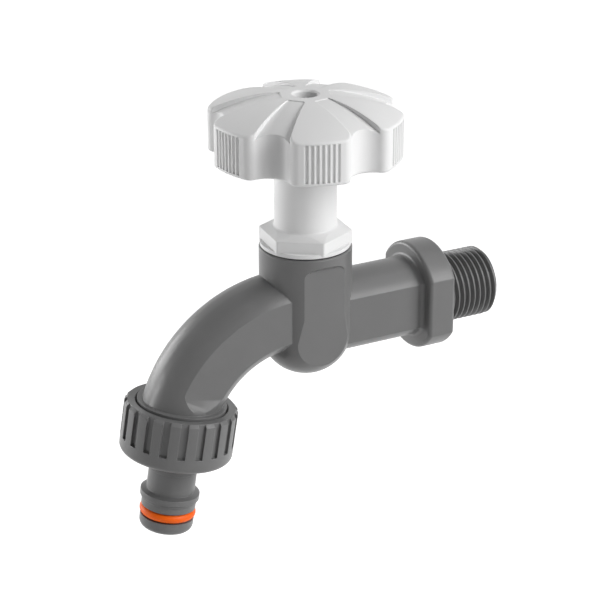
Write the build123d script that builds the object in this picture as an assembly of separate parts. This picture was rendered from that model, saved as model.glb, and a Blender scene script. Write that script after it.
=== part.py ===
from build123d import *
import os
from math import atan2, cos, degrees, radians, sin, sqrt

# Garden tap: a wall tap with a screw-down valve, a curved spout and a push-on hose connector.
# Lengths are in millimetres. The origin is the centre of the wrench collar's wall-side face.
# +X runs along the inlet thread into the wall fitting, +Z is up, and the spout points to -X.

# Clearances
running_clearance = 0.05
thread_clearance = 0.05
seating_gap = 0.05
loose_clearance = 0.2
overcut = 1.0
through_cut = 60.0

# Inlet: threaded spigot, wrench collar and pipe with flat sides
inlet_thread_diameter = 20.955
inlet_thread_length = 17.3
inlet_end_chamfer = 1.1
inlet_bore_diameter = 14.0
collar_diameter = 32.6
collar_length = 8.7
collar_flats = 27.6
collar_edge_radius = 1.2
pipe_diameter = 23.9
pipe_flats = 19.5
pipe_root_radius = 1.2
valve_reach = 43.0

# Valve barrel: round, with a ball-shaped bottom and a flat panel on each side
barrel_diameter = 27.1
barrel_top = 22.9
barrel_ball_drop = 3.5
barrel_rim_chamfer = 0.35
panel_width = 13.0
panel_top = 19.0
panel_corner_radius = 2.2
panel_depth = 1.67
panel_lower_depth = 2.7
panel_step_top = 4.4
panel_edge_slope = 40.0
upper_chamber_diameter = 17.2
seat_plate_top = -2.0
seat_plate_thickness = 2.5
seat_bore_diameter = 9.2
seat_ring_width = 1.6
seat_ring_height = 1.0
lower_chamber_diameter = 16.4
ball_wall = 3.05
bridge_slot_width = 10.0
bridge_slot_depth = 9.4
bridge_slot_radius = 1.8
bridge_wall = 2.9

# Spout: a bent pipe with flat sides that ends in a threaded outlet
spout_start_diameter = 23.5
spout_end_diameter = 22.8
spout_flats = 19.5
spout_rise = 3.5
spout_bend_start = 7.6
spout_bend_radius = 35.0
spout_bend_angle = 69.0
spout_run_out = 3.0
spout_bore_diameter = 12.0
spout_panel_half_width = 6.7
spout_panel_end = 7.6
spout_panel_ramp_start = 4.9
spout_panel_ramp_end = 1.4
spout_panel_ramp_extension = 4.0
outlet_tilt = 9.4
outlet_thread_diameter = 26.441
outlet_thread_length = 9.0
outlet_lip_diameter = 26.1
outlet_lip_height = 0.6
outlet_lip_skirt = 1.4
outlet_end_chamfer = 0.8
outlet_bore_diameter = 17.0
outlet_bore_taper = 3.0
outlet_bore_step = 0.5

# Bonnet: sealed flange, hexagon, round neck and threaded shank in one piece
bonnet_thread_diameter = 19.0
bonnet_shank_length = 9.9
bonnet_thread_depth = 12.0
gasket_thickness = 0.4
gasket_inset = 0.55
bonnet_flange_inset = 0.35
bonnet_flange_thickness = 1.05
hexagon_inset = 1.75
hexagon_turn = -4.7
hexagon_height = 4.7
hexagon_corner_radius = 0.8
hexagon_top_diameter = 19.0
hexagon_top_drop = 1.3
neck_root_chamfer = 0.4
neck_diameter = 18.1
neck_top = 52.1
neck_edge_chamfer = 0.5

# Spindle: threaded foot, shaft with two ring grooves and a square drive
spindle_thread_diameter = 10.0
spindle_thread_length = 14.4
spindle_lift = 5.0
spindle_stop_gap = 0.2
shaft_diameter = 8.0
drive_square = 6.2
drive_length = 4.9
drive_edge_chamfer = 0.4
oring_section = 1.6
oring_groove_width = 2.0
oring_heights = {"upper": 38.0, "lower": 34.0}

# Valve: jumper, rubber washer, retaining washer and screw
valve_washer_diameter = 14.0
valve_washer_thickness = 3.1
jumper_diameter = 15.6
jumper_plate_thickness = 2.2
jumper_rim_height = 1.4
jumper_stem_diameter = 5.2
jumper_stem_length = 8.8
clip_height = 4.6
clip_wire = 0.8
clip_groove_width = 1.0
clip_socket_width = 1.2
clip_gap_angle = 40.0
retainer_diameter = 6.8
retainer_thickness = 0.8
washer_screw_diameter = 3.0
washer_screw_length = 6.4
washer_screw_head_diameter = 5.6
washer_screw_head_height = 1.5
screw_slot_width = 0.8
screw_slot_depth = 0.7

# Handwheel: six lobes with finger grooves, a domed top and a hollow underside
wheel_diameter = 55.8
wheel_bottom = 50.3
wheel_rim_top = 63.0
wheel_crown_top = 68.1
wheel_wall = 2.4
wheel_roof = 3.2
crown_flat_radius = 4.5
crown_power = 2.8
wheel_lobes = 6
wheel_turn = -18.1
scallop_radius = 6.4
scallop_depth = 4.7
lobe_corner_radius = 2.7
pocket_corner_radius = 0.8
wheel_edge_radius = 0.9
sector_inner_radius = 7.0
sector_inner_half_width = 2.5
sector_outer_half_width = 5.7
sector_rim_drop = 2.1
groove_count = 7
groove_pitch_angle = 3.05
groove_radius = 0.5
groove_depth = 0.45
groove_low_margin = 1.1
groove_high_margin = 0.7
hub_diameter = 13.0
hub_gap = 0.9
wheel_screw_hole_diameter = 7.0
wheel_screw_hole_chamfer = 0.5
wheel_screw_web = 1.5
wheel_screw_diameter = 4.0
wheel_screw_length = 11.0
wheel_screw_head_diameter = 6.2
wheel_screw_head_height = 2.2
wheel_screw_washer_diameter = 6.6
wheel_screw_washer_thickness = 0.6
cross_recess_width = 0.9
cross_recess_length = 3.4
cross_recess_depth = 1.3

# Hose connector: ribbed nut and push-on nipple in one piece, with a flat washer and a seal ring
nut_diameter = 33.1
nut_height = 15.5
nut_top_chamfer = 0.9
nut_floor = 11.8
nut_bottom_radius = 1.8
nut_bore_chamfer = 0.4
nut_ribs = 20
nut_slot_width = 2.2
nut_slot_depth = 0.9
nut_slot_length = 10.9
nut_slot_turn = -21.0
nipple_root_diameter = 15.0
nipple_root_end = 20.3
nipple_neck_diameter = 14.2
nipple_collar_start = 27.6
nipple_collar_rise = 0.6
nipple_collar_diameter = 17.4
nipple_collar_length = 1.6
nipple_shoulder_diameter = 16.5
nipple_shoulder_end = 30.1
nipple_land_diameter = 16.0
seal_groove_start = 32.2
seal_groove_width = 3.2
seal_section = 2.7
seal_diameter = 16.6
nipple_tip_diameter = 15.9
nipple_end = 39.3
nipple_tip_radius = 2.0
nipple_bore_diameter = 8.4
outlet_washer_bore = 15.0

# Places that follow from the sizes above
valve_x = -valve_reach
gasket_diameter = barrel_diameter - 2 * gasket_inset
bonnet_flange_diameter = barrel_diameter - 2 * bonnet_flange_inset
hexagon_flats = barrel_diameter - 2 * hexagon_inset
seat_top = seat_plate_top + seat_ring_height
washer_bottom = seat_top + seating_gap
washer_top = washer_bottom + valve_washer_thickness
jumper_top = washer_top + jumper_plate_thickness
spindle_bottom = jumper_top + seating_gap
spindle_thread_top = spindle_bottom + spindle_thread_length
shaft_bore_bottom = spindle_thread_top + spindle_lift + spindle_stop_gap
flange_bottom = barrel_top + gasket_thickness
flange_top = flange_bottom + bonnet_flange_thickness
hexagon_top = flange_top + hexagon_height
hub_bottom = neck_top + hub_gap
drive_top = hub_bottom + drive_length
screw_seat = drive_top + loose_clearance + wheel_screw_web

valve_place = Location((valve_x, 0, 0))
bend_centre = Vector(valve_x - spout_bend_start, 0, spout_rise - spout_bend_radius)
outlet_centre = bend_centre + spout_bend_radius * Vector(
    -sin(radians(spout_bend_angle)), 0, cos(radians(spout_bend_angle))
)
outlet_direction = Vector(-sin(radians(outlet_tilt)), 0, -cos(radians(outlet_tilt)))
outlet_plane = Plane(
    origin=outlet_centre,
    x_dir=(cos(radians(outlet_tilt)), 0, -sin(radians(outlet_tilt))),
    z_dir=outlet_direction,
)


def profile_face(points, rounds=()):
    """Closed outline of (radius, height) points, with rounds given as (radius, height, fillet)."""
    face = Plane.XZ * make_face(Polyline(*points, close=True))
    for x, z, fillet_radius in rounds:
        corner = face.vertices().sort_by_distance((x, 0, z))[0]
        face = fillet(corner, fillet_radius)
    return face


def turned(points, rounds=()):
    """Solid of revolution about the Z axis."""
    return revolve(profile_face(points, rounds), Axis.Z)


def rod(diameter, low, high):
    """Round bar along Z between two heights."""
    return Pos(0, 0, low) * Cylinder(
        diameter / 2, high - low, align=(Align.CENTER, Align.CENTER, Align.MIN)
    )


def ring(outer_diameter, inner_diameter, low, high):
    """Flat ring along Z between two heights."""
    return rod(outer_diameter, low, high) - rod(inner_diameter, low, high)


def seal_ring(outer_diameter, section, height):
    """Round rubber ring about Z with its middle at a height."""
    return Pos(0, 0, height) * Torus((outer_diameter - section) / 2, section / 2)


def along_x(solid):
    """Turns a piece made about Z so that its axis is X."""
    return Rot(0, 90, 0) * solid


def side_flats(solid, width, low_x, high_x, height):
    """Cuts both sides of a piece flat, a width apart across Y, between two places along X."""
    for side in (1, -1):
        block = Box(
            high_x - low_x,
            through_cut,
            height,
            align=(Align.MIN, Align.MIN if side > 0 else Align.MAX, Align.CENTER),
        )
        solid -= Pos(low_x, side * width / 2, 0) * block
    return solid


def bend_point(angle, radius):
    """Point at a turn of the spout's bend, at a distance from the bend's centre."""
    turn = radians(angle)
    return bend_centre + radius * Vector(-sin(turn), 0, cos(turn))


def spout_path():
    """Centre line of the spout, from the valve's axis into the threaded outlet."""
    level_end = bend_point(0, spout_bend_radius)
    middle = bend_point(spout_bend_angle / 2, spout_bend_radius)
    bend = ThreePointArc(level_end, middle, outlet_centre)
    level = Line((valve_x, 0, spout_rise), level_end)
    run_out = Line(outlet_centre, outlet_centre + spout_run_out * (bend % 1))
    return Wire([level, bend, run_out])


def spout_sweep(start_diameter, end_diameter):
    """Round bar along the spout's centre line, from one diameter to another."""
    path = spout_path()
    first = Plane(origin=path @ 0, z_dir=path % 0) * Circle(start_diameter / 2)
    last = Plane(origin=path @ 1, z_dir=path % 1) * Circle(end_diameter / 2)
    return sweep([first, last], path=path, multisection=True)


def spout_side_cut(side):
    """Cutter for one flat side of the spout, with a round end and a ramp by the outlet."""
    panel_angle = spout_bend_angle - degrees(spout_panel_end / spout_bend_radius)
    reach = spout_bend_radius + spout_panel_half_width
    wedge = [(bend_centre.X, bend_centre.Z)]
    for angle in (0, panel_angle / 2, panel_angle):
        far = bend_point(angle, reach * 2)
        wedge.append((far.X, far.Z))
    hub = Location((bend_centre.X, bend_centre.Z))
    band = hub * Circle(reach) - hub * Circle(reach - 2 * spout_panel_half_width)
    band = band & make_face(Polyline(*wedge, close=True))
    end = bend_point(panel_angle, spout_bend_radius)
    band += Pos(end.X, end.Z) * Circle(spout_panel_half_width)
    level = Pos(valve_x - spout_bend_start, spout_rise) * Rectangle(
        spout_bend_start, 2 * spout_panel_half_width, align=(Align.MIN, Align.CENTER)
    )
    depth = outlet_thread_diameter
    cutter = extrude(Plane.XZ * (band + level), amount=-depth if side > 0 else depth)
    cutter = Pos(0, side * spout_flats / 2, 0) * cutter
    ramp_rise = spout_panel_ramp_extension * (spout_end_diameter - spout_flats) / 2
    ramp_run = spout_panel_ramp_extension * (spout_panel_ramp_start - spout_panel_ramp_end)
    ramp = Polyline(
        (-spout_panel_ramp_start, 0),
        (-spout_panel_ramp_start + ramp_run, ramp_rise),
        (-spout_panel_ramp_start + ramp_run, -depth),
        (-spout_panel_ramp_start, -depth),
        close=True,
    )
    slice_plane = Plane(
        origin=outlet_plane.origin + Vector(0, side * spout_flats / 2, 0),
        x_dir=outlet_direction,
        z_dir=outlet_plane.x_dir * side,
    )
    ramp_block = extrude(slice_plane * make_face(ramp), amount=through_cut / 2, both=True)
    return cutter - ramp_block


def barrel_panel_cut(side):
    """Cutter for the flat panel on one side of the barrel, deeper in its lower, round part."""
    panel_y = barrel_diameter / 2 - panel_depth
    lower_y = barrel_diameter / 2 - panel_lower_depth
    outline = Pos(0, panel_top) * Rectangle(
        panel_width, panel_top - panel_step_top, align=(Align.CENTER, Align.MAX)
    )
    corners = outline.vertices().sort_by(Axis.Y)[-2:]
    outline = fillet(corners, panel_corner_radius)
    upper = extrude(
        Plane(origin=(0, -panel_y, 0), x_dir=(1, 0, 0), z_dir=(0, -1, 0)) * outline,
        amount=2 * panel_depth,
        taper=-panel_edge_slope,
    )
    lower = Plane.YZ * make_face(
        Polyline(
            (-panel_y, panel_step_top),
            (-lower_y, -barrel_ball_drop),
            (-lower_y, -barrel_diameter),
            (-barrel_diameter, -barrel_diameter),
            (-barrel_diameter, panel_step_top),
            close=True,
        )
    )
    cutter = upper + extrude(lower, amount=barrel_diameter / 2 - panel_depth, both=True)
    return cutter if side < 0 else mirror(cutter, Plane.XZ)


def barrel_block():
    """Outside of the valve barrel about its own axis."""
    radius = barrel_diameter / 2
    tube = rod(barrel_diameter, -barrel_ball_drop, barrel_top)
    tube = chamfer(tube.edges().sort_by(Axis.Z)[-1], barrel_rim_chamfer)
    block = tube + Pos(0, 0, -barrel_ball_drop) * Sphere(radius)
    for side in (1, -1):
        block -= barrel_panel_cut(side)
    return block


def valve_hollow():
    """Water spaces inside the barrel: upper chamber, seat, lower chamber and bonnet thread."""
    hollow = rod(upper_chamber_diameter, seat_plate_top, barrel_top)
    hollow += rod(
        bonnet_thread_diameter + 2 * thread_clearance, barrel_top - bonnet_thread_depth, barrel_top
    )
    plate_bottom = seat_plate_top - seat_plate_thickness
    ball = Pos(0, 0, -barrel_ball_drop) * Sphere(barrel_diameter / 2 - ball_wall)
    hollow += ball & rod(lower_chamber_diameter, -barrel_diameter, plate_bottom)
    hollow += rod(seat_bore_diameter, plate_bottom - overcut, seat_plate_top)
    return hollow


def inlet_hollow():
    """Inlet bore, stopped short of the upper chamber, and the slot that leads under the seat."""
    blind_end = valve_x + upper_chamber_diameter / 2 + bridge_wall
    bore = Pos(blind_end, 0, 0) * along_x(rod(inlet_bore_diameter, 0, through_cut))
    plate_bottom = seat_plate_top - seat_plate_thickness
    slot_length = blind_end + inlet_bore_diameter / 2 - valve_x
    slot = Box(
        slot_length,
        bridge_slot_width,
        bridge_slot_depth + plate_bottom,
        align=(Align.MIN, Align.CENTER, Align.MAX),
    )
    slot = fillet(slot.edges().filter_by(Axis.X), bridge_slot_radius)
    return bore + Pos(valve_x, 0, plate_bottom) * slot


def outlet_spigot():
    """Threaded end of the spout, with the lip that shows above the nut."""
    thread = outlet_thread_diameter / 2
    lip = outlet_lip_diameter / 2
    return turned(
        [
            (0, -outlet_lip_height),
            (lip, -outlet_lip_height),
            (lip, outlet_lip_skirt),
            (thread, outlet_lip_skirt + thread - lip),
            (thread, outlet_thread_length - outlet_end_chamfer),
            (thread - outlet_end_chamfer, outlet_thread_length),
            (0, outlet_thread_length),
        ]
    )


def outlet_hollow():
    """Bore of the threaded outlet, tapered down to a small step around the spout's bore."""
    wide = outlet_bore_diameter / 2
    narrow = spout_bore_diameter / 2 + outlet_bore_step
    return turned(
        [
            (0, outlet_bore_taper - (wide - narrow)),
            (narrow, outlet_bore_taper - (wide - narrow)),
            (wide, outlet_bore_taper),
            (wide, outlet_thread_length + overcut),
            (0, outlet_thread_length + overcut),
        ]
    )


def pipe_root(inlet):
    """Edges where the pipe meets the wrench collar."""
    face_x = -collar_length
    halfway = (pipe_diameter + collar_flats) / 4
    roots = []
    for edge in inlet.edges().filter_by_position(
        Axis.X, face_x - running_clearance, face_x + running_clearance
    ):
        end = edge @ 0
        if Vector(0, end.Y, end.Z).length < halfway:
            roots.append(edge)
    return roots


def tap_body():
    """Moulded body: inlet, collar, pipe, barrel, spout and threaded outlet in one piece."""
    pipe = Pos(valve_x, 0, 0) * along_x(rod(pipe_diameter, 0, valve_reach - collar_length / 2))
    pipe = side_flats(pipe, pipe_flats, valve_x, -collar_length / 2, pipe_diameter)
    collar = Pos(-collar_length, 0, 0) * along_x(rod(collar_diameter, 0, collar_length))
    collar = side_flats(collar, collar_flats, -collar_length, 0, collar_diameter)
    collar = fillet(collar.edges(), collar_edge_radius)
    inlet = pipe + collar
    inlet = fillet(pipe_root(inlet), pipe_root_radius)
    thread = along_x(rod(inlet_thread_diameter, -collar_length / 2, inlet_thread_length))
    thread = chamfer(thread.edges().sort_by(Axis.X)[-1], inlet_end_chamfer)
    spout = spout_sweep(spout_start_diameter, spout_end_diameter)
    for side in (1, -1):
        spout -= spout_side_cut(side)
    body = valve_place * barrel_block() + inlet + thread + spout
    body += outlet_plane * outlet_spigot()
    body -= valve_place * valve_hollow()
    body += valve_place * ring(
        seat_bore_diameter + 2 * seat_ring_width, seat_bore_diameter, seat_plate_top, seat_top
    )
    body -= inlet_hollow()
    body -= spout_bore()
    body -= outlet_plane * outlet_hollow()
    return body


def spout_bore():
    """Water way of the spout, opened from the wall of the upper chamber."""
    bore = spout_sweep(spout_bore_diameter, spout_bore_diameter)
    keep_clear = valve_place * rod(
        upper_chamber_diameter - overcut, -barrel_diameter, barrel_top
    )
    return bore - keep_clear


def bonnet():
    """White bonnet: threaded shank, flange, hexagon and neck, bored for the spindle."""
    neck = neck_diameter / 2
    cone_top = hexagon_top_diameter / 2
    corner = hexagon_flats / sqrt(3)
    shoulder = hexagon_top - hexagon_top_drop
    core = turned(
        [
            (0, flange_bottom),
            (bonnet_flange_diameter / 2, flange_bottom),
            (bonnet_flange_diameter / 2, flange_top),
            (neck + neck_root_chamfer, flange_top),
            (neck + neck_root_chamfer, hexagon_top),
            (neck, hexagon_top + neck_root_chamfer),
            (neck, neck_top - neck_edge_chamfer),
            (neck - neck_edge_chamfer, neck_top),
            (0, neck_top),
        ]
    )
    cone_envelope = turned(
        [
            (0, flange_bottom),
            (corner, flange_bottom),
            (corner, shoulder),
            (cone_top, hexagon_top),
            (0, hexagon_top),
        ]
    )
    outline = RegularPolygon(hexagon_flats / 2, 6, major_radius=False)
    outline = Rot(0, 0, hexagon_turn - 90) * fillet(outline.vertices(), hexagon_corner_radius)
    low = flange_top - bonnet_flange_thickness / 2
    hexagon = extrude(Plane.XY.offset(low) * outline, amount=shoulder - low)
    slope = degrees(atan2(hexagon_flats / 2 - cone_top, hexagon_top_drop))
    hexagon += extrude(Plane.XY.offset(shoulder) * outline, amount=hexagon_top_drop, taper=slope)
    solid = core + (hexagon & cone_envelope)
    solid += rod(bonnet_thread_diameter, flange_bottom - bonnet_shank_length, flange_bottom)
    solid -= rod(
        spindle_thread_diameter + 2 * thread_clearance,
        flange_bottom - bonnet_shank_length - overcut,
        shaft_bore_bottom,
    )
    solid -= rod(
        shaft_diameter + 2 * running_clearance, shaft_bore_bottom - overcut, neck_top + overcut
    )
    return valve_place * solid


def bonnet_gasket():
    """Flat rubber ring between the barrel's rim and the bonnet's flange."""
    bore = bonnet_thread_diameter + loose_clearance
    return valve_place * ring(gasket_diameter, bore, barrel_top, flange_bottom)


def drive_bar(width, low, high):
    """Square bar about Z between two heights, turned like the handwheel."""
    square = Rot(0, 0, wheel_turn) * Rectangle(width, width)
    return extrude(Plane.XY.offset(low) * square, amount=high - low)


def spindle():
    """Brass spindle: threaded foot, socket for the jumper, ring grooves and square drive."""
    groove = shaft_diameter - 2 * oring_section
    solid = rod(spindle_thread_diameter, spindle_bottom, spindle_thread_top)
    solid = chamfer(solid.edges().filter_by(GeomType.CIRCLE), drive_edge_chamfer)
    solid += rod(shaft_diameter, spindle_thread_top - overcut, hub_bottom)
    top = rod(shaft_diameter, hub_bottom - overcut, drive_top)
    top = chamfer(top.edges().sort_by(Axis.Z)[-1], drive_edge_chamfer)
    solid += drive_bar(drive_square, hub_bottom - overcut, drive_top) & top
    for height in oring_heights.values():
        low = height - oring_groove_width / 2
        solid -= ring(shaft_diameter + overcut, groove, low, low + oring_groove_width)
    socket = jumper_stem_diameter + 2 * running_clearance
    stem_top = jumper_top + jumper_stem_length
    solid -= rod(socket, spindle_bottom - overcut, stem_top + loose_clearance)
    groove_outer = jumper_stem_diameter + clip_wire + 2 * loose_clearance
    groove_low = clip_level() - clip_socket_width / 2
    solid -= rod(groove_outer, groove_low, groove_low + clip_socket_width)
    hole_depth = wheel_screw_length + loose_clearance
    hole = rod(
        wheel_screw_diameter + 2 * thread_clearance, screw_seat - hole_depth, drive_top + overcut
    )
    return valve_place * (solid - hole)


def clip_level():
    """Height of the snap ring that holds the jumper in the spindle."""
    return jumper_top + clip_height


def spindle_oring(height):
    """Rubber ring in one of the spindle's grooves, just inside the bonnet's bore."""
    outer = shaft_diameter + running_clearance
    return valve_place * seal_ring(outer, oring_section, height)


def valve_jumper():
    """Brass jumper: stem, plate and the cup that holds the rubber washer."""
    stem_top = jumper_top + jumper_stem_length
    solid = rod(jumper_diameter, washer_top - jumper_rim_height, jumper_top)
    solid -= rod(
        valve_washer_diameter + 2 * loose_clearance,
        washer_top - jumper_rim_height - overcut,
        washer_top,
    )
    solid += rod(jumper_stem_diameter, jumper_top - overcut, stem_top)
    groove_low = clip_level() - clip_groove_width / 2
    solid -= ring(
        jumper_stem_diameter + overcut,
        jumper_stem_diameter - clip_wire - 2 * thread_clearance,
        groove_low,
        groove_low + clip_groove_width,
    )
    screw_top = washer_bottom - retainer_thickness + washer_screw_length
    hole = washer_screw_diameter + 2 * thread_clearance
    solid -= rod(hole, washer_bottom, screw_top + loose_clearance)
    return valve_place * solid


def jumper_clip():
    """Split spring ring in the jumper's stem groove."""
    wire = Torus(jumper_stem_diameter / 2, clip_wire / 2)
    gap = Box(
        jumper_stem_diameter,
        jumper_stem_diameter * sin(radians(clip_gap_angle / 2)),
        2 * clip_wire,
        align=(Align.MIN, Align.CENTER, Align.CENTER),
    )
    return valve_place * Pos(0, 0, clip_level()) * (wire - gap)


def valve_washer():
    """Rubber washer that closes on the seat."""
    bore = washer_screw_diameter + 2 * loose_clearance
    return valve_place * ring(valve_washer_diameter, bore, washer_bottom, washer_top)


def retaining_washer():
    """Metal washer between the rubber washer and the screw's head."""
    bore = washer_screw_diameter + loose_clearance
    return valve_place * ring(
        retainer_diameter, bore, washer_bottom - retainer_thickness, washer_bottom
    )


def washer_screw():
    """Slotted screw that holds the rubber washer on the jumper."""
    head_top = washer_bottom - retainer_thickness
    head = rod(washer_screw_head_diameter, head_top - washer_screw_head_height, head_top)
    head = fillet(head.edges().sort_by(Axis.Z)[0], washer_screw_head_height / 2)
    head -= Pos(0, 0, head_top - washer_screw_head_height) * Box(
        washer_screw_head_diameter, screw_slot_width, 2 * screw_slot_depth
    )
    shank = rod(washer_screw_diameter, head_top, head_top + washer_screw_length)
    return valve_place * (head + shank)


def wheel_outline(inset, corner_radius):
    """Plan of the handwheel, inset all round: a circle with six scallops between rounded lobes."""
    radius = wheel_diameter / 2
    outline = Circle(radius - inset)
    scallop = Pos(radius - scallop_depth + scallop_radius, 0) * Circle(scallop_radius + inset)
    for index in range(wheel_lobes):
        outline -= Rot(0, 0, index * 360 / wheel_lobes) * scallop
    return fillet(outline.vertices(), corner_radius)


def crown_height(distance):
    """Height of the handwheel's domed top at a distance from its axis."""
    rise = wheel_crown_top - wheel_rim_top
    return wheel_crown_top - rise * (2 * distance / wheel_diameter) ** crown_power


def crown(drop, rim_drop):
    """Solid under the domed top, lowered all over by drop and further at the rim by rim_drop."""
    radius = wheel_diameter / 2 + overcut
    middle = radius / 2
    share = (middle - crown_flat_radius) / (radius - crown_flat_radius)
    top = crown_height(crown_flat_radius) - drop
    arc = ThreePointArc(
        (crown_flat_radius, top),
        (middle, crown_height(middle) - drop - rim_drop * share),
        (radius, crown_height(radius) - drop - rim_drop),
    )
    outline = [
        Line((0, top), arc @ 0),
        arc,
        Line(arc @ 1, (radius, 0)),
        Line((radius, 0), (0, 0)),
        Line((0, 0), (0, top)),
    ]
    return revolve(Plane.XZ * make_face(outline), Axis.Z)


def wheel_sector():
    """Plan of the lowered sector of the crown above one scallop."""
    rim = wheel_diameter / 2 + 2 * overcut
    return make_face(
        Polyline(
            (sector_inner_radius, -sector_inner_half_width),
            (rim, -sector_outer_half_width),
            (rim, sector_outer_half_width),
            (sector_inner_radius, sector_inner_half_width),
            close=True,
        )
    )


def groove_angles():
    """Angles of all finger grooves, in groups centred on the lobes."""
    lobe_pitch = 360 / wheel_lobes
    angles = []
    for lobe in range(wheel_lobes):
        for index in range(groove_count):
            offset = (index - (groove_count - 1) / 2) * groove_pitch_angle
            angles.append((lobe + 0.5) * lobe_pitch + offset)
    return angles


def wheel_shell():
    """Handwheel without its hub and grooves: lobed rim, crown with sectors, hollow underside."""
    outline = wheel_outline(0, lobe_corner_radius)
    block = extrude(Plane.XY.offset(wheel_bottom) * outline, amount=wheel_crown_top - wheel_bottom)
    block = block & crown(0, 0)
    half_radius = wheel_diameter / 4
    rim_edges = [e for e in block.edges() if Vector(e.center().X, e.center().Y).length > half_radius]
    block = fillet(rim_edges, wheel_edge_radius)
    sectors = Part()
    for index in range(wheel_lobes):
        sector = Rot(0, 0, index * 360 / wheel_lobes) * wheel_sector()
        sectors += extrude(Plane.XY.offset(wheel_bottom) * sector, amount=wheel_crown_top)
    block -= sectors - crown(0, sector_rim_drop)
    inner = wheel_outline(wheel_wall, pocket_corner_radius)
    pocket = extrude(Plane.XY.offset(wheel_bottom - overcut) * inner, amount=wheel_crown_top)
    return block - (pocket & crown(wheel_roof, 0))


def handwheel():
    """White moulded handwheel with a square socket and a recessed screw hole."""
    solid = wheel_shell()
    solid += rod(hub_diameter, hub_bottom, wheel_crown_top - wheel_roof / 2)
    centre = wheel_diameter / 2 - groove_depth + groove_radius
    low = wheel_bottom + groove_low_margin
    groove = rod(2 * groove_radius, low, wheel_rim_top - groove_high_margin)
    grooves = Part()
    for angle in groove_angles():
        grooves += Rot(0, 0, angle) * Pos(centre, 0, 0) * groove
    solid -= grooves
    solid = Rot(0, 0, wheel_turn) * solid
    socket = drive_square + 2 * running_clearance
    solid -= drive_bar(socket, hub_bottom - overcut, drive_top + loose_clearance)
    solid -= rod(wheel_screw_diameter + loose_clearance, hub_bottom, screw_seat + overcut)
    hole = wheel_screw_hole_diameter / 2
    rim = crown_height(crown_flat_radius)
    solid -= turned(
        [
            (0, screw_seat),
            (hole, screw_seat),
            (hole, rim - wheel_screw_hole_chamfer),
            (hole + wheel_screw_hole_chamfer + overcut, rim + overcut),
            (0, rim + overcut),
        ]
    )
    return valve_place * solid


def handwheel_screw():
    """Cross-recess screw that holds the handwheel on the spindle."""
    head_bottom = screw_seat + wheel_screw_washer_thickness
    head_top = head_bottom + wheel_screw_head_height
    head = rod(wheel_screw_head_diameter, head_bottom, head_top)
    head = fillet(head.edges().sort_by(Axis.Z)[-1], wheel_screw_head_height / 2)
    bar = Box(cross_recess_length, cross_recess_width, 2 * cross_recess_depth)
    head -= Pos(0, 0, head_top) * (bar + Rot(0, 0, 90) * bar)
    shank = rod(wheel_screw_diameter, screw_seat - wheel_screw_length, head_bottom)
    return valve_place * (head + shank)


def handwheel_screw_washer():
    """Flat washer under the handwheel screw's head."""
    bore = wheel_screw_diameter + loose_clearance
    return valve_place * ring(
        wheel_screw_washer_diameter, bore, screw_seat, screw_seat + wheel_screw_washer_thickness
    )


def connector_profile():
    """Section of the hose connector from the nut's top to the nipple's tip."""
    nut = nut_diameter / 2
    bore = outlet_thread_diameter / 2 + thread_clearance
    inner = nipple_bore_diameter / 2
    root = nipple_root_diameter / 2
    neck = nipple_neck_diameter / 2
    collar = nipple_collar_diameter / 2
    shoulder = nipple_shoulder_diameter / 2
    land = nipple_land_diameter / 2
    tip = nipple_tip_diameter / 2
    groove = seal_diameter / 2 - seal_section - seating_gap
    collar_end = nipple_collar_start + nipple_collar_length
    groove_end = seal_groove_start + seal_groove_width
    points = [
        (bore + nut_bore_chamfer, 0),
        (nut - nut_top_chamfer, 0),
        (nut, nut_top_chamfer),
        (nut, nut_height),
        (root, nut_height),
        (root, nipple_root_end),
        (neck, nipple_root_end),
        (neck, nipple_collar_start - nipple_collar_rise),
        (collar, nipple_collar_start),
        (collar, collar_end),
        (shoulder, collar_end),
        (shoulder, nipple_shoulder_end),
        (land, nipple_shoulder_end),
        (land, seal_groove_start),
        (groove, seal_groove_start),
        (groove, groove_end),
        (tip, groove_end),
        (tip, nipple_end),
        (inner, nipple_end),
        (inner, nut_floor),
        (bore, nut_floor),
        (bore, nut_bore_chamfer),
    ]
    rounds = [(nut, nut_height, nut_bottom_radius), (tip, nipple_end, nipple_tip_radius)]
    return points, rounds


def hose_connector():
    """One-piece nut and nipple, with ribs made by slots around the nut."""
    solid = turned(*connector_profile())
    floor = nut_diameter / 2 - nut_slot_depth
    for index in range(nut_ribs):
        slot = Box(
            nut_slot_depth + overcut,
            nut_slot_width,
            nut_slot_length + overcut,
            align=(Align.MIN, Align.CENTER, Align.MIN),
        )
        angle = nut_slot_turn + index * 360 / nut_ribs
        solid -= Rot(0, 0, 90 - angle) * Pos(floor, 0, -overcut) * slot
    return outlet_plane * solid


def outlet_washer():
    """Flat rubber washer between the spout's end and the nut's floor."""
    low = outlet_thread_length + seating_gap
    outer = outlet_thread_diameter - 2 * loose_clearance
    return outlet_plane * ring(outer, outlet_washer_bore, low, nut_floor - seating_gap)


def connector_oring():
    """Orange seal ring in the nipple's groove."""
    height = seal_groove_start + seal_groove_width / 2
    return outlet_plane * seal_ring(seal_diameter, seal_section, height)


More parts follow.
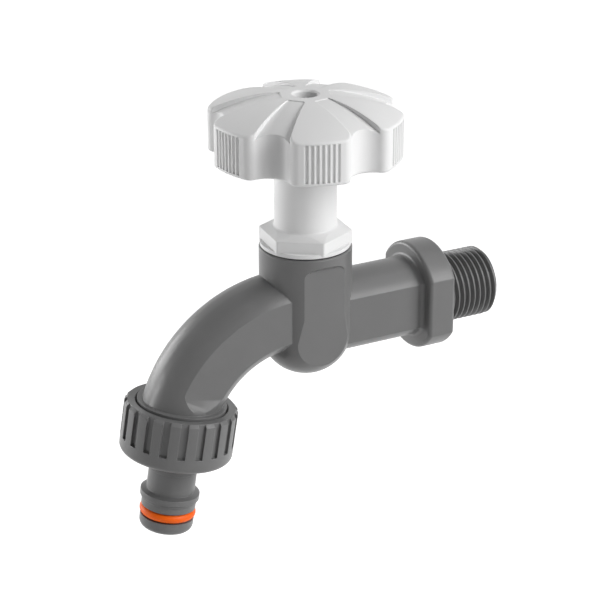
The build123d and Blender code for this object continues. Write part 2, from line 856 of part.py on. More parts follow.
def main():
    """Builds every piece of the tap and writes one STEP file for each."""
    pieces = {
        "tap_body": tap_body(),
        "bonnet": bonnet(),
        "bonnet_gasket": bonnet_gasket(),
        "spindle": spindle(),
        "spindle_oring_upper": spindle_oring(oring_heights["upper"]),
        "spindle_oring_lower": spindle_oring(oring_heights["lower"]),
        "valve_jumper": valve_jumper(),
        "jumper_clip": jumper_clip(),
        "valve_washer": valve_washer(),
        "retaining_washer": retaining_washer(),
        "washer_screw": washer_screw(),
        "handwheel": handwheel(),
        "handwheel_screw": handwheel_screw(),
        "handwheel_screw_washer": handwheel_screw_washer(),
        "hose_connector": hose_connector(),
        "outlet_washer": outlet_washer(),
        "connector_oring": connector_oring(),
    }
    os.makedirs("parts", exist_ok=True)
    for name, piece in pieces.items():
        export_step(piece, f"parts/{name}.step")


main()
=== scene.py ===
"""Dresses the garden tap: cut threads, moulded plastics, rubber and metal, in a plain studio."""

import logging
import math
from contextlib import contextmanager
from dataclasses import dataclass, field
from enum import Enum
from typing import Callable, Iterator

import bmesh
import bpy
from mathutils import Matrix, Vector


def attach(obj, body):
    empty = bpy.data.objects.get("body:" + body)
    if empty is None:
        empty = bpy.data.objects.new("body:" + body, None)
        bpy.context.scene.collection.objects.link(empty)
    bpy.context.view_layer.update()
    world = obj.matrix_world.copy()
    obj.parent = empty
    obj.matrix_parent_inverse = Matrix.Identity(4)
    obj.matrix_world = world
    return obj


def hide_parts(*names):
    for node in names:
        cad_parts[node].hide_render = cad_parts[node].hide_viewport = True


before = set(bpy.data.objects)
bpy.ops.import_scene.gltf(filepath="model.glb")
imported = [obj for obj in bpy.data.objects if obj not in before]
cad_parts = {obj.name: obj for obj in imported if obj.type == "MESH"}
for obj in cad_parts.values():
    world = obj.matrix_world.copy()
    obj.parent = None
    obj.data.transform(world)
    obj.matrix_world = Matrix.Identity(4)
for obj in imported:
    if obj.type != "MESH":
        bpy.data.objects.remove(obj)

LOG = logging.getLogger("garden_tap")
MM = 0.001
SAME_PLACE = MM / 1000
ON_THE_SURFACE = MM / 100


def srgb(red: float, green: float, blue: float) -> tuple[float, float, float, float]:
    """Turns a colour as it is seen on a screen, 0 to 255, into the renderer's linear colour.

    Args:
        red: red share, 0 to 255.
        green: green share, 0 to 255.
        blue: blue share, 0 to 255.

    Returns:
        Linear red, green, blue and full alpha.
    """
    shares = [value / 255 for value in (red, green, blue)]
    linear = [s / 12.92 if s <= 0.04045 else ((s + 0.055) / 1.055) ** 2.4 for s in shares]
    return (linear[0], linear[1], linear[2], 1.0)


# Work on meshes


def deselect_all() -> None:
    """Leaves object mode with nothing selected."""
    if bpy.context.object is not None and bpy.context.object.mode != "OBJECT":
        bpy.ops.object.mode_set(mode="OBJECT")
    bpy.ops.object.select_all(action="DESELECT")


def take_up(piece: bpy.types.Object) -> None:
    """Makes one piece the only selected and active object."""
    deselect_all()
    piece.select_set(True)
    bpy.context.view_layer.objects.active = piece


@contextmanager
def editing(piece: bpy.types.Object) -> Iterator[None]:
    """Opens a piece in edit mode, to pick vertices with none selected, and closes it again.

    Args:
        piece: the mesh object to shape.

    Returns:
        Nothing while the piece is open.
    """
    take_up(piece)
    bpy.ops.object.mode_set(mode="EDIT")
    bpy.ops.mesh.select_mode(type="VERT")
    bpy.ops.mesh.select_all(action="DESELECT")
    yield
    bpy.ops.object.mode_set(mode="OBJECT")


def pick_vertices(piece: bpy.types.Object, wanted: Callable[[Vector], bool]) -> None:
    """Selects the vertices of the open piece whose place passes a test.

    Args:
        piece: the mesh object that is open in edit mode.
        wanted: takes a vertex's place and says whether it is picked.
    """
    mesh = bmesh.from_edit_mesh(piece.data)
    for vertex in mesh.verts:
        vertex.select = wanted(vertex.co)
    mesh.select_flush_mode()
    bmesh.update_edit_mesh(piece.data)


def apply_modifiers(piece: bpy.types.Object) -> None:
    """Applies every modifier of a piece in order."""
    take_up(piece)
    for modifier in list(piece.modifiers):
        bpy.ops.object.modifier_apply(modifier=modifier.name)


def place(piece: bpy.types.Object, placement: Matrix) -> None:
    """Moves a piece and leaves its object at the origin, unturned and unscaled.

    Args:
        piece: the object to move.
        placement: where the piece's own frame goes in the tap's frame.
    """
    piece.matrix_world = placement
    take_up(piece)
    bpy.ops.object.transform_apply(location=True, rotation=True, scale=True)


def smooth(piece: bpy.types.Object, angle: float) -> None:
    """Shades a piece smooth up to a bend, with the wide faces kept flat.

    Args:
        piece: the mesh object to shade.
        angle: the sharpest bend, in degrees, that is still shaded smooth.
    """
    take_up(piece)
    bpy.ops.object.shade_smooth_by_angle(angle=math.radians(angle))
    lean = piece.modifiers.new("wide_faces_lead", "WEIGHTED_NORMAL")
    lean.keep_sharp = True
    apply_modifiers(piece)


def moulding_copy(node: str, name: str) -> bpy.types.Object:
    """Copies a solid of the tap as one closed mesh that can be worked on.

    Args:
        node: the solid's name.
        name: the new piece's name.

    Returns:
        The new object, with its loose triangles joined.
    """
    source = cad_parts[node]
    piece = bpy.data.objects.new(name, source.data.copy())
    bpy.context.scene.collection.objects.link(piece)
    with editing(piece):
        bpy.ops.mesh.select_all(action="SELECT")
        bpy.ops.mesh.remove_doubles(threshold=SAME_PLACE)
    take_up(piece)
    bpy.ops.mesh.customdata_custom_splitnormals_clear()
    return piece


@dataclass(frozen=True)
class ScrewThread:
    """A helical groove cut into a round surface, with the sizes of the real thread.

    Attributes:
        name: the thread's name.
        surface_radius: radius of the round surface that is cut.
        depth: depth of the groove towards the axis.
        pitch: travel of one turn.
        mouth: width of the groove at the surface.
        flank_angle: slope of each flank in degrees.
        start: place of the groove's first end along the axis.
        turns: number of full turns.
        placement: where the thread's axis, its own Z, lies in the tap's frame.
        steps: straight runs in one turn.
        overlap: how far the cutter reaches past the surface, so that it cuts clean.
    """

    name: str
    surface_radius: float
    depth: float
    pitch: float
    mouth: float
    flank_angle: float
    start: float
    turns: int
    placement: Matrix
    steps: int = 64
    overlap: float = 0.6 * MM

    def cutter(self) -> bpy.types.Object:
        """Models the space that the groove takes, as a closed coil."""
        root_radius = self.surface_radius - self.depth
        middle = (root_radius + self.surface_radius) / 2
        root_width = self.mouth - 2 * self.depth * math.tan(math.radians(self.flank_angle))
        deselect_all()
        bpy.ops.mesh.primitive_plane_add(
            size=1, location=(middle, 0, self.start), rotation=(math.radians(90), 0, 0)
        )
        coil = bpy.context.object
        coil.name = f"{self.name}_cutter"
        coil.scale = (self.depth, self.mouth, 1)
        bpy.ops.object.transform_apply(location=True, rotation=True, scale=True)
        with editing(coil):
            pick_vertices(coil, lambda place: place.x < middle)
            bpy.ops.transform.resize(
                value=(1, 1, root_width / self.mouth), center_override=(root_radius, 0, self.start)
            )
            bpy.ops.mesh.select_all(action="DESELECT")
            pick_vertices(coil, lambda place: place.x > middle)
            bpy.ops.mesh.extrude_region_move(
                TRANSFORM_OT_translate={"value": (self.overlap, 0, 0)}
            )
            bpy.ops.mesh.select_all(action="SELECT")
            bpy.ops.mesh.delete(type="ONLY_FACE")
            pick_vertices(coil, lambda place: abs(place.x - self.surface_radius) < ON_THE_SURFACE)
            bpy.ops.mesh.delete(type="EDGE")
        turn = coil.modifiers.new("turns", "SCREW")
        turn.axis = "Z"
        turn.angle = 2 * math.pi
        turn.screw_offset = self.pitch
        turn.iterations = self.turns
        turn.steps = self.steps
        turn.render_steps = self.steps
        apply_modifiers(coil)
        with editing(coil):
            bpy.ops.mesh.select_all(action="SELECT")
            bpy.ops.mesh.remove_doubles(threshold=SAME_PLACE)
            bpy.ops.mesh.fill_holes(sides=0)
            bpy.ops.mesh.normals_make_consistent(inside=False)
        place(coil, self.placement)
        return coil

    def cut(self, piece: bpy.types.Object) -> None:
        """Cuts the groove into a closed piece."""
        coil = self.cutter()
        groove = piece.modifiers.new(self.name, "BOOLEAN")
        groove.operation = "DIFFERENCE"
        groove.solver = "EXACT"
        groove.object = coil
        apply_modifiers(piece)
        bpy.data.objects.remove(coil)


# Finishes


class Surface(Enum):
    """Kinds of surface that the tap's pieces have."""

    MOULDED = "moulded"
    RUBBER = "rubber"
    TURNED = "turned"


@dataclass(frozen=True)
class Finish:
    """Look of one material of the tap.

    Attributes:
        name: the material's name.
        slot: a material slot name; not used.
        surface: the kind of surface.
        colour: its main colour.
        tint: the colour of the faint patches in it.
        painted_highlight: the lighter colour along its edges, a painted highlight.
        painted_highlight_share: how far the edges take that painted highlight, 0 to 1.
        smooth_roughness: roughness where the surface is smoothest.
        rough_roughness: roughness where the surface is roughest.
        grain: size of the fine grain.
        relief: height of the fine grain.
        edge_radius: radius that the sharp edges show.
        shine: specular level.
    """

    name: str
    slot: str
    surface: Surface
    colour: tuple[float, float, float, float]
    tint: tuple[float, float, float, float]
    painted_highlight: tuple[float, float, float, float]
    painted_highlight_share: float
    smooth_roughness: float
    rough_roughness: float
    grain: float
    relief: float
    edge_radius: float
    shine: float = 0.5


class NodeSheet:
    """Short hand for laying out nodes and links in one node tree."""

    def __init__(self, tree: bpy.types.NodeTree) -> None:
        """Keeps the tree that the nodes go into."""
        self.tree = tree
        self.column = 0

    def add(self, kind: str, **settings: object) -> bpy.types.Node:
        """Adds a node of a kind and sets its properties.

        Args:
            kind: the node's type name.
            settings: properties of the node and their values.

        Returns:
            The new node.
        """
        node = self.tree.nodes.new(kind)
        self.column += 1
        node.location = (self.column * 180, 0)
        for key, value in settings.items():
            setattr(node, key, value)
        return node

    def link(self, source: bpy.types.NodeSocket, target: bpy.types.NodeSocket) -> None:
        """Joins two sockets."""
        self.tree.links.new(source, target)

    def maths(self, operation: str, first: object, second: object = 0.0) -> bpy.types.NodeSocket:
        """Adds a number operation on sockets or plain numbers.

        Args:
            operation: the operation's name.
            first: first socket or number.
            second: second socket or number.

        Returns:
            The result's socket.
        """
        node = self.add("ShaderNodeMath", operation=operation)
        for index, value in enumerate((first, second)):
            if isinstance(value, bpy.types.NodeSocket):
                self.link(value, node.inputs[index])
            else:
                node.inputs[index].default_value = value
        return node.outputs[0]

    def spread(
        self, value: bpy.types.NodeSocket, low: float, high: float, to_low: object, to_high: object
    ) -> bpy.types.NodeSocket:
        """Maps a value from one range to another and clamps it.

        Args:
            value: the socket to map.
            low: start of its range.
            high: end of its range.
            to_low: number or socket that the start becomes.
            to_high: number or socket that the end becomes.

        Returns:
            The mapped value's socket.
        """
        node = self.add("ShaderNodeMapRange", clamp=True)
        self.link(value, node.inputs["Value"])
        node.inputs["From Min"].default_value = low
        node.inputs["From Max"].default_value = high
        for name, target in (("To Min", to_low), ("To Max", to_high)):
            if isinstance(target, bpy.types.NodeSocket):
                self.link(target, node.inputs[name])
            else:
                node.inputs[name].default_value = target
        return node.outputs["Result"]

    def mix(
        self, share: bpy.types.NodeSocket, first: object, second: object
    ) -> bpy.types.NodeSocket:
        """Mixes two colours by a share.

        Args:
            share: socket with the second colour's share.
            first: colour or socket where the share is 0.
            second: colour or socket where the share is 1.

        Returns:
            The mixed colour's socket.
        """
        node = self.add("ShaderNodeMix", data_type="RGBA")
        self.link(share, node.inputs[0])
        for index, value in ((6, first), (7, second)):
            if isinstance(value, bpy.types.NodeSocket):
                self.link(value, node.inputs[index])
            else:
                node.inputs[index].default_value = value
        return node.outputs[2]


class EffectShelf:
    """The shader node groups that several finishes share, each built once.

    Attributes:
        BEVEL_SAMPLES: samples that find a rounded edge.
        EDGE_TURN: agreement of the rounded and the plain normal, at a full edge and at none.
        PATCH_RANGE: noise that makes no patch and a full patch.
        SHEEN_RANGE: noise that gives the smoothest and the roughest sheen.
        RING_RANGE: noise between two lathe rings.
        SHEEN_FINENESS: how much finer the sheen's patches are than the colour's.
        RING_SQUEEZE: scale of the noise across and along a lathe's axis.
    """

    BEVEL_SAMPLES = 6
    EDGE_TURN = (0.80, 0.995)
    PATCH_RANGE = (0.35, 0.7)
    SHEEN_RANGE = (0.3, 0.7)
    RING_RANGE = (0.25, 0.75)
    SHEEN_FINENESS = 2.7
    RING_SQUEEZE = (0.02, 0.02, 1.0)

    def __init__(self) -> None:
        """Builds every shared effect."""
        self.soft_edges = self.build_soft_edges()
        self.skin = self.build_skin()
        self.tool_marks = self.build_tool_marks()

    @staticmethod
    def group(name: str, inputs: dict[str, str], outputs: dict[str, str]) -> tuple[
        NodeSheet, bpy.types.Node, bpy.types.Node
    ]:
        """Starts a node group with named sockets.

        Args:
            name: the group's name.
            inputs: names and socket types that go in.
            outputs: names and socket types that come out.

        Returns:
            A sheet for the group, its input node and its output node.
        """
        tree = bpy.data.node_groups.new(name, "ShaderNodeTree")
        for direction, sockets in (("INPUT", inputs), ("OUTPUT", outputs)):
            for socket, kind in sockets.items():
                tree.interface.new_socket(name=socket, in_out=direction, socket_type=kind)
        sheet = NodeSheet(tree)
        return sheet, sheet.add("NodeGroupInput"), sheet.add("NodeGroupOutput")

    def build_soft_edges(self) -> bpy.types.NodeTree:
        """Rounds edges in the normal and marks them with a mask for the painted edge highlight."""
        sheet, given, result = self.group(
            "soft_edges",
            {"Radius": "NodeSocketFloat"},
            {"Edge": "NodeSocketFloat", "Normal": "NodeSocketVector"},
        )
        bevel = sheet.add("ShaderNodeBevel", samples=self.BEVEL_SAMPLES)
        sheet.link(given.outputs["Radius"], bevel.inputs["Radius"])
        shape = sheet.add("ShaderNodeNewGeometry")
        turned = sheet.add("ShaderNodeVectorMath", operation="DOT_PRODUCT")
        sheet.link(bevel.outputs["Normal"], turned.inputs[0])
        sheet.link(shape.outputs["Normal"], turned.inputs[1])
        edge = sheet.spread(turned.outputs["Value"], *self.EDGE_TURN, 1.0, 0.0)
        sheet.link(edge, result.inputs["Edge"])
        sheet.link(bevel.outputs["Normal"], result.inputs["Normal"])
        return sheet.tree

    def build_skin(self) -> bpy.types.NodeTree:
        """Fine grain, faint patches and uneven sheen of a moulded or pressed surface."""
        sheet, given, result = self.group(
            "moulded_skin",
            {
                "Vector": "NodeSocketVector",
                "Grain Scale": "NodeSocketFloat",
                "Patch Scale": "NodeSocketFloat",
            },
            {
                "Grain": "NodeSocketFloat",
                "Patches": "NodeSocketFloat",
                "Sheen Patches": "NodeSocketFloat",
            },
        )
        grain = sheet.add("ShaderNodeTexNoise")
        grain.inputs["Detail"].default_value = 4.0
        grain.inputs["Roughness"].default_value = 0.62
        sheet.link(given.outputs["Vector"], grain.inputs["Vector"])
        sheet.link(given.outputs["Grain Scale"], grain.inputs["Scale"])
        pits = sheet.add("ShaderNodeTexVoronoi", feature="SMOOTH_F1")
        sheet.link(given.outputs["Vector"], pits.inputs["Vector"])
        sheet.link(given.outputs["Grain Scale"], pits.inputs["Scale"])
        relief = sheet.maths("MULTIPLY", grain.outputs["Fac"], pits.outputs["Distance"])
        patches = sheet.add("ShaderNodeTexNoise")
        patches.inputs["Detail"].default_value = 3.0
        patches.inputs["Distortion"].default_value = 0.4
        sheet.link(given.outputs["Vector"], patches.inputs["Vector"])
        sheet.link(given.outputs["Patch Scale"], patches.inputs["Scale"])
        finer = sheet.maths("MULTIPLY", given.outputs["Patch Scale"], self.SHEEN_FINENESS)
        sheen = sheet.add("ShaderNodeTexNoise")
        sheen.inputs["Detail"].default_value = 5.0
        sheet.link(given.outputs["Vector"], sheen.inputs["Vector"])
        sheet.link(finer, sheen.inputs["Scale"])
        sheet.link(relief, result.inputs["Grain"])
        patchy = sheet.spread(patches.outputs["Fac"], *self.PATCH_RANGE, 0.0, 1.0)
        sheet.link(patchy, result.inputs["Patches"])
        sheeny = sheet.spread(sheen.outputs["Fac"], *self.SHEEN_RANGE, 0.0, 1.0)
        sheet.link(sheeny, result.inputs["Sheen Patches"])
        return sheet.tree

    def build_tool_marks(self) -> bpy.types.NodeTree:
        """Fine rings that a lathe leaves round a turned metal piece."""
        sheet, given, result = self.group(
            "tool_marks",
            {"Vector": "NodeSocketVector", "Ring Scale": "NodeSocketFloat"},
            {"Rings": "NodeSocketFloat"},
        )
        squeeze = sheet.add("ShaderNodeMapping")
        squeeze.inputs["Scale"].default_value = self.RING_SQUEEZE
        sheet.link(given.outputs["Vector"], squeeze.inputs["Vector"])
        rings = sheet.add("ShaderNodeTexNoise")
        rings.inputs["Detail"].default_value = 6.0
        rings.inputs["Roughness"].default_value = 0.7
        sheet.link(squeeze.outputs["Vector"], rings.inputs["Vector"])
        sheet.link(given.outputs["Ring Scale"], rings.inputs["Scale"])
        ringed = sheet.spread(rings.outputs["Fac"], *self.RING_RANGE, 0.0, 1.0)
        sheet.link(ringed, result.inputs["Rings"])
        return sheet.tree


class PaintShop:
    """Makes the materials of the tap from their finishes, each once.

    Attributes:
        PATCH_SCALE: how many of the faint colour patches lie along a metre.
    """

    PATCH_SCALE = 55.0

    def __init__(self, effects: EffectShelf) -> None:
        """Keeps the shared effects and an empty stock of materials."""
        self.effects = effects
        self.stock: dict[str, bpy.types.Material] = {}

    def material(self, finish: Finish) -> bpy.types.Material:
        """Gives the material of a finish, made at its first use."""
        if finish.name not in self.stock:
            self.stock[finish.name] = self.make(finish)
            LOG.info("finish %s made", finish.name)
        return self.stock[finish.name]

    def make(self, finish: Finish) -> bpy.types.Material:
        """Lays out the nodes of one finish.

        Args:
            finish: the look to make.

        Returns:
            The new material.
        """
        material = bpy.data.materials.new(finish.name)
        material.use_nodes = True
        material.node_tree.nodes.clear()
        sheet = NodeSheet(material.node_tree)
        place_on_piece = sheet.add("ShaderNodeTexCoord")
        edges = sheet.add("ShaderNodeGroup", node_tree=self.effects.soft_edges)
        edges.inputs["Radius"].default_value = finish.edge_radius
        skin = sheet.add("ShaderNodeGroup", node_tree=self.effects.skin)
        skin.inputs["Grain Scale"].default_value = 1 / finish.grain
        skin.inputs["Patch Scale"].default_value = self.PATCH_SCALE
        sheet.link(place_on_piece.outputs["Object"], skin.inputs["Vector"])
        relief = skin.outputs["Grain"]
        sheen = skin.outputs["Sheen Patches"]
        if finish.surface is Surface.TURNED:
            marks = sheet.add("ShaderNodeGroup", node_tree=self.effects.tool_marks)
            marks.inputs["Ring Scale"].default_value = 1 / finish.grain
            sheet.link(place_on_piece.outputs["Object"], marks.inputs["Vector"])
            relief = marks.outputs["Rings"]
            sheen = marks.outputs["Rings"]
        patched = sheet.mix(skin.outputs["Patches"], finish.colour, finish.tint)
        # Painted highlight: the edge mask lays a lighter colour along the rounded edges.
        painted_highlight_share = sheet.maths("MULTIPLY", edges.outputs["Edge"], finish.painted_highlight_share)
        colour = sheet.mix(painted_highlight_share, patched, finish.painted_highlight)
        roughness = sheet.spread(
            sheen, 0.0, 1.0, finish.smooth_roughness, finish.rough_roughness
        )
        bump = sheet.add("ShaderNodeBump")
        bump.inputs["Strength"].default_value = 1.0
        bump.inputs["Distance"].default_value = finish.relief
        sheet.link(relief, bump.inputs["Height"])
        sheet.link(edges.outputs["Normal"], bump.inputs["Normal"])
        shader = sheet.add("ShaderNodeBsdfPrincipled")
        shader.inputs["Metallic"].default_value = 1.0 if finish.surface is Surface.TURNED else 0.0
        shader.inputs["Specular IOR Level"].default_value = finish.shine
        sheet.link(colour, shader.inputs["Base Color"])
        sheet.link(roughness, shader.inputs["Roughness"])
        sheet.link(bump.outputs["Normal"], shader.inputs["Normal"])
        output = sheet.add("ShaderNodeOutputMaterial")
        sheet.link(shader.outputs["BSDF"], output.inputs["Surface"])
        return material

    def dress(self, piece: bpy.types.Object, finish: Finish) -> None:
        """Gives a piece one finish all over.

        Args:
            piece: the object to dress.
            finish: its look.
        """
        material = self.material(finish)
        if not piece.material_slots:
            piece.data.materials.append(material)
        for slot in piece.material_slots:
            slot.material = material


# Each finish below paints a lighter colour along its edges as a highlight.
GREY_PLASTIC = Finish(
    name="grey_moulded_plastic",
    slot="grey_plastic",
    surface=Surface.MOULDED,
    colour=srgb(106, 106, 106),
    tint=srgb(110, 110, 110),
    painted_highlight=srgb(140, 140, 140),
    painted_highlight_share=0.35,
    smooth_roughness=0.31,
    rough_roughness=0.38,
    grain=0.35 * MM,
    relief=0.012 * MM,
    edge_radius=0.3 * MM,
    shine=0.4,
)

WHITE_PLASTIC = Finish(
    name="white_moulded_plastic",
    slot="white_plastic",
    surface=Surface.MOULDED,
    colour=srgb(228, 228, 228),
    tint=srgb(231, 231, 231),
    painted_highlight=srgb(238, 238, 238),
    painted_highlight_share=0.5,
    smooth_roughness=0.42,
    rough_roughness=0.52,
    grain=0.4 * MM,
    relief=0.01 * MM,
    edge_radius=0.4 * MM,
)

BLACK_RUBBER = Finish(
    name="black_rubber_sheet",
    slot="black_rubber",
    surface=Surface.RUBBER,
    colour=srgb(34, 34, 35),
    tint=srgb(40, 40, 41),
    painted_highlight=srgb(58, 58, 58),
    painted_highlight_share=0.4,
    smooth_roughness=0.55,
    rough_roughness=0.7,
    grain=0.25 * MM,
    relief=0.02 * MM,
    edge_radius=0.15 * MM,
)

ORANGE_RUBBER = Finish(
    name="orange_rubber_seal",
    slot="orange_rubber",
    surface=Surface.RUBBER,
    colour=srgb(255, 98, 0),
    tint=srgb(255, 106, 2),
    painted_highlight=srgb(255, 132, 30),
    painted_highlight_share=0.3,
    smooth_roughness=0.42,
    rough_roughness=0.55,
    grain=0.3 * MM,
    relief=0.015 * MM,
    edge_radius=0.1 * MM,
    shine=0.3,
)

BRASS = Finish(
    name="turned_brass",
    slot="brass",
    surface=Surface.TURNED,
    colour=srgb(202, 164, 96),
    tint=srgb(188, 148, 84),
    painted_highlight=srgb(228, 196, 134),
    painted_highlight_share=0.5,
    smooth_roughness=0.22,
    rough_roughness=0.42,
    grain=0.3 * MM,
    relief=0.012 * MM,
    edge_radius=0.12 * MM,
)

STEEL = Finish(
    name="turned_steel",
    slot="steel",
    surface=Surface.TURNED,
    colour=srgb(186, 188, 190),
    tint=srgb(172, 174, 177),
    painted_highlight=srgb(214, 216, 218),
    painted_highlight_share=0.5,
    smooth_roughness=0.22,
    rough_roughness=0.38,
    grain=0.2 * MM,
    relief=0.008 * MM,
    edge_radius=0.08 * MM,
)


# Pieces of the tap

PIPE_THREAD_PITCH = 1.814 * MM
PIPE_THREAD_DEPTH = 1.162 * MM
PIPE_THREAD_MOUTH = 1.50 * MM
PIPE_THREAD_FLANK = 27.5
BODY_SMOOTH_ANGLE = 29


@dataclass
class MouldedBody:
    """The grey body: inlet with its wall thread, barrel, and spout with its outlet thread.

    Attributes:
        outlet_place: the outlet's frame, its Z down the outlet.
        inlet_radius: outside radius of the inlet spigot.
        inlet_start: place along X where the inlet thread begins.
        inlet_turns: turns of the inlet thread.
        outlet_radius: outside radius of the threaded outlet.
        outlet_start: place of the outlet thread's start below the outlet's top.
        outlet_turns: turns of the outlet thread.
    """

    outlet_place: Matrix
    inlet_radius: float = 10.4775 * MM
    inlet_start: float = 1.3 * MM
    inlet_turns: int = 9
    outlet_radius: float = 13.2205 * MM
    outlet_start: float = 2.9 * MM
    outlet_turns: int = 4

    def build(self) -> bpy.types.Object:
        """Cuts both pipe threads into a copy of the moulded body."""
        body = moulding_copy("tap_body", "tap_body_threaded")
        ScrewThread(
            name="inlet_thread",
            surface_radius=self.inlet_radius,
            depth=PIPE_THREAD_DEPTH,
            pitch=PIPE_THREAD_PITCH,
            mouth=PIPE_THREAD_MOUTH,
            flank_angle=PIPE_THREAD_FLANK,
            start=self.inlet_start,
            turns=self.inlet_turns,
            placement=Matrix.Rotation(math.radians(90), 4, "Y"),
        ).cut(body)
        ScrewThread(
            name="outlet_thread",
            surface_radius=self.outlet_radius,
            depth=PIPE_THREAD_DEPTH,
            pitch=PIPE_THREAD_PITCH,
            mouth=PIPE_THREAD_MOUTH,
            flank_angle=PIPE_THREAD_FLANK,
            start=self.outlet_start,
            turns=self.outlet_turns,
            placement=self.outlet_place,
        ).cut(body)
        smooth(body, BODY_SMOOTH_ANGLE)
        return body

    def dress(self, body: bpy.types.Object, shop: PaintShop) -> None:
        """Gives the body its grey plastic and sets it on the tap."""
        shop.dress(body, GREY_PLASTIC)
        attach(body, "tap")
        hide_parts("tap_body")


@dataclass
class SolidPieces:
    """The pieces whose solids keep their own shape and only take a finish.

    Attributes:
        finishes: the finish of each solid by name.
    """

    finishes: dict[str, Finish] = field(
        default_factory=lambda: {
            "bonnet": WHITE_PLASTIC,
            "handwheel": WHITE_PLASTIC,
            "hose_connector": GREY_PLASTIC,
            # The black bonnet gasket is partly a real seal and partly painted shade: its dark ring
            # stands in for the shadow gap under the bonnet's flange.
            "bonnet_gasket": BLACK_RUBBER,
            "spindle_oring_upper": BLACK_RUBBER,
            "spindle_oring_lower": BLACK_RUBBER,
            "valve_washer": BLACK_RUBBER,
            "outlet_washer": BLACK_RUBBER,
            "connector_oring": ORANGE_RUBBER,
            "spindle": BRASS,
            "valve_jumper": BRASS,
            "jumper_clip": STEEL,
            "retaining_washer": STEEL,
            "washer_screw": STEEL,
            "handwheel_screw": STEEL,
            "handwheel_screw_washer": STEEL,
        }
    )

    def dress(self, shop: PaintShop) -> None:
        """Gives every solid its finish."""
        for node, finish in self.finishes.items():
            shop.dress(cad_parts[node], finish)
            LOG.info("%s dressed in %s", node, finish.name)


# Studio


@dataclass(frozen=True)
class Lamp:
    """A soft rectangular lamp that looks at the tap.

    Attributes:
        name: the lamp's name.
        azimuth: direction it stands in, degrees from the front towards the wall side.
        elevation: its height above the horizon in degrees.
        distance: how far it stands from the tap.
        width: its width.
        height: its height.
        watts: its power.
    """

    name: str
    azimuth: float
    elevation: float
    distance: float
    width: float
    height: float
    watts: float

    def hang(self, target: Vector) -> None:
        """Puts the lamp in the scene, turned to a target."""
        azimuth = math.radians(self.azimuth)
        elevation = math.radians(self.elevation)
        away = Vector(
            (
                math.sin(azimuth) * math.cos(elevation),
                -math.cos(azimuth) * math.cos(elevation),
                math.sin(elevation),
            )
        )
        light = bpy.data.lights.new(self.name, "AREA")
        light.shape = "RECTANGLE"
        light.size = self.width
        light.size_y = self.height
        light.energy = self.watts
        lamp = bpy.data.objects.new(self.name, light)
        bpy.context.scene.collection.objects.link(lamp)
        lamp.location = target + away * self.distance
        lamp.rotation_euler = away.to_track_quat("Z", "Y").to_euler()
        lamp.visible_camera = False


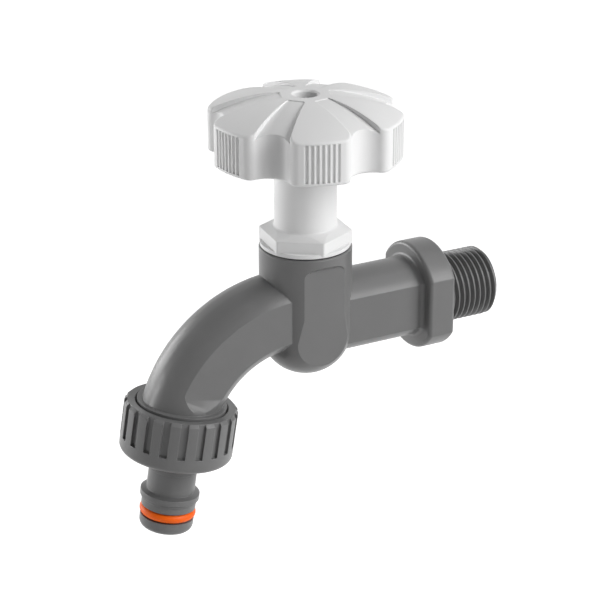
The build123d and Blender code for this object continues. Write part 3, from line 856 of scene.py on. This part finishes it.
@dataclass
class Studio:
    """Plain studio: pale floor, pale surroundings, four soft lamps and the camera.

    Attributes:
        target: the point that the lamps look at.
        floor_level: height of the floor.
        floor_size: width of the floor.
        surround: light of the surroundings on the tap, where 1 is white.
        lamps: the soft lamps.
        camera_place: where the camera stands.
        camera_azimuth: its direction, degrees from the front towards the wall side.
        camera_elevation: its height above the horizon in degrees.
        lens: focal length in millimetres.
        sensor: width of the camera's sensor in millimetres.
        nearest: nearest place that the camera shows.
        fleck_scale: fineness of the floor's faint flecks.
        floor_glow_reach: distances from the floor's middle where its glow starts and ends to rise.
        floor_glow: the glow at those two distances, where 1 is white.
    """

    target: Vector = field(default_factory=lambda: Vector((-43, 0, 5)) * MM)
    floor_level: float = -110 * MM
    floor_size: float = 6.0
    surround: float = 0.13
    lamps: tuple[Lamp, ...] = (
        Lamp("front_right", 40, 30, 0.9, 0.6, 0.6, 7.2),
        Lamp("left_strip", -118, 5, 0.9, 0.15, 0.3, 2.1),
        Lamp("left_back", -150, 8, 0.9, 0.5, 0.4, 3.6),
        Lamp("top", 70, 70, 0.9, 0.6, 0.6, 1.2),
    )
    camera_place: Vector = field(
        default_factory=lambda: Vector((-292.1212, -473.7993, 238.8331)) * MM
    )
    camera_azimuth: float = -27.8154
    camera_elevation: float = 23.814
    lens: float = 116.883
    sensor: float = 36.0
    nearest: float = 10 * MM
    fleck_scale: float = 60.0
    floor_glow_reach: tuple[float, float] = (0.4, 1.3)
    floor_glow: tuple[float, float] = (0.58, 0.96)

    def build(self) -> None:
        """Lays the floor, hangs the lamps, sets the surroundings and the camera."""
        self.lay_floor()
        for lamp in self.lamps:
            lamp.hang(self.target)
            LOG.info("lamp %s hung", lamp.name)
        self.set_surroundings()
        self.set_camera()
        bpy.context.scene.view_settings.view_transform = "Standard"

    @staticmethod
    def seen_directly(sheet: NodeSheet) -> bpy.types.NodeSocket:
        """Marks rays from the camera, mirrored ones and ones through glass, and no others.

        Args:
            sheet: the material's or world's sheet.

        Returns:
            A socket that is 1 for those rays and 0 for the others.
        """
        path = sheet.add("ShaderNodeLightPath")
        seen = sheet.maths("MAXIMUM", path.outputs["Is Camera Ray"], path.outputs["Is Glossy Ray"])
        return sheet.maths("MAXIMUM", seen, path.outputs["Is Transmission Ray"])

    def lay_floor(self) -> None:
        """Lays a pale floor that keeps the tap's shadow."""
        deselect_all()
        bpy.ops.mesh.primitive_plane_add(size=self.floor_size, location=(0, 0, self.floor_level))
        floor = bpy.context.object
        floor.name = "floor"
        bpy.ops.object.transform_apply(location=True, rotation=True, scale=True)
        material = bpy.data.materials.new("pale_floor")
        material.use_nodes = True
        material.node_tree.nodes.clear()
        sheet = NodeSheet(material.node_tree)
        spot = sheet.add("ShaderNodeTexCoord")
        flecks = sheet.add("ShaderNodeTexNoise")
        flecks.inputs["Scale"].default_value = self.fleck_scale
        sheet.link(spot.outputs["Object"], flecks.inputs["Vector"])
        paper = sheet.mix(flecks.outputs["Fac"], srgb(238, 238, 238), srgb(242, 242, 242))
        matt = sheet.add("ShaderNodeBsdfDiffuse")
        sheet.link(paper, matt.inputs["Color"])
        glow = sheet.add("ShaderNodeEmission")
        seen = self.seen_directly(sheet)
        distance = sheet.add("ShaderNodeVectorMath", operation="LENGTH")
        sheet.link(spot.outputs["Object"], distance.inputs[0])
        pale = sheet.spread(distance.outputs["Value"], *self.floor_glow_reach, *self.floor_glow)
        sheet.link(sheet.maths("MULTIPLY", seen, pale), glow.inputs["Strength"])
        both = sheet.add("ShaderNodeAddShader")
        sheet.link(matt.outputs["BSDF"], both.inputs[0])
        sheet.link(glow.outputs["Emission"], both.inputs[1])
        output = sheet.add("ShaderNodeOutputMaterial")
        sheet.link(both.outputs["Shader"], output.inputs["Surface"])
        floor.data.materials.append(material)

    def set_surroundings(self) -> None:
        """Makes the surroundings white to the eye and softer as light."""
        world = bpy.data.worlds.new("pale_surroundings")
        world.use_nodes = True
        world.node_tree.nodes.clear()
        sheet = NodeSheet(world.node_tree)
        seen = self.seen_directly(sheet)
        background = sheet.add("ShaderNodeBackground")
        sheet.link(sheet.spread(seen, 0.0, 1.0, self.surround, 1.0), background.inputs["Strength"])
        background.inputs["Color"].default_value = (1.0, 1.0, 1.0, 1.0)
        output = sheet.add("ShaderNodeOutputWorld")
        sheet.link(background.outputs["Background"], output.inputs["Surface"])
        bpy.context.scene.world = world

    def set_camera(self) -> None:
        """Sets the camera at the viewing angle of the picture."""
        lens = bpy.data.cameras.new("camera")
        lens.lens = self.lens
        lens.sensor_width = self.sensor
        lens.clip_start = self.nearest
        camera = bpy.data.objects.new("camera", lens)
        bpy.context.scene.collection.objects.link(camera)
        camera.location = self.camera_place
        camera.rotation_euler = (
            math.radians(90 - self.camera_elevation),
            0,
            math.radians(self.camera_azimuth),
        )
        bpy.context.scene.camera = camera


OUTLET_TILT = 9.4
OUTLET_TOP = Vector((-83.275, 0, -18.957)) * MM


def outlet_frame() -> Matrix:
    """Gives the outlet's frame: origin at its top, Z down the outlet, X towards the barrel."""
    tilt = math.radians(OUTLET_TILT)
    down = Vector((-math.sin(tilt), 0, -math.cos(tilt)))
    along = Vector((math.cos(tilt), 0, -math.sin(tilt)))
    side = down.cross(along)
    turn = Matrix((along, side, down)).transposed().to_4x4()
    return Matrix.Translation(OUTLET_TOP) @ turn


def main() -> None:
    """Builds and dresses the tap, then the studio round it."""
    logging.basicConfig(level=logging.INFO, format="%(message)s")
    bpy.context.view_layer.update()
    shop = PaintShop(EffectShelf())
    body = MouldedBody(outlet_place=outlet_frame())
    body.dress(body.build(), shop)
    LOG.info("tap_body_threaded built")
    SolidPieces().dress(shop)
    Studio().build()
    deselect_all()


if __name__ == "__main__":
    main()
